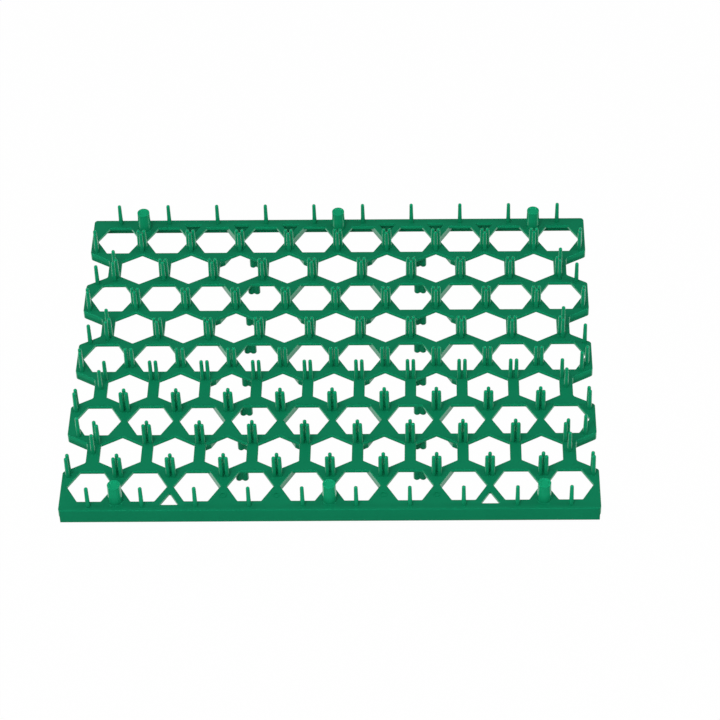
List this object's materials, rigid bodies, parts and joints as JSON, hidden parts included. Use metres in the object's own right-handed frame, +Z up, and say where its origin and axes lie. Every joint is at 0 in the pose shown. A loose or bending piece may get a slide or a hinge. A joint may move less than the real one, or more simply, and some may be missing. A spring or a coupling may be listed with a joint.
{
  "type": "pheasant egg tray",
  "caption": "Flat moulded plastic setter tray with staggered hexagonal egg seats, upright guide pins round each seat, notched sides and deep front and back rails.",
  "frame": {"origin": "under the middle of the tray, on the surface that its rails and feet stand on", "axes": "+X along the rows of seats, +Y towards the back rail, +Z up along the pins"},
  "size_m": [0.4148, 0.3354, 0.0334],
  "materials": {
    "tray": "satin green polypropylene, moulded"
  },
  "bodies": {
    "root": {"tray": "tray"}
  },
  "joints": []
}
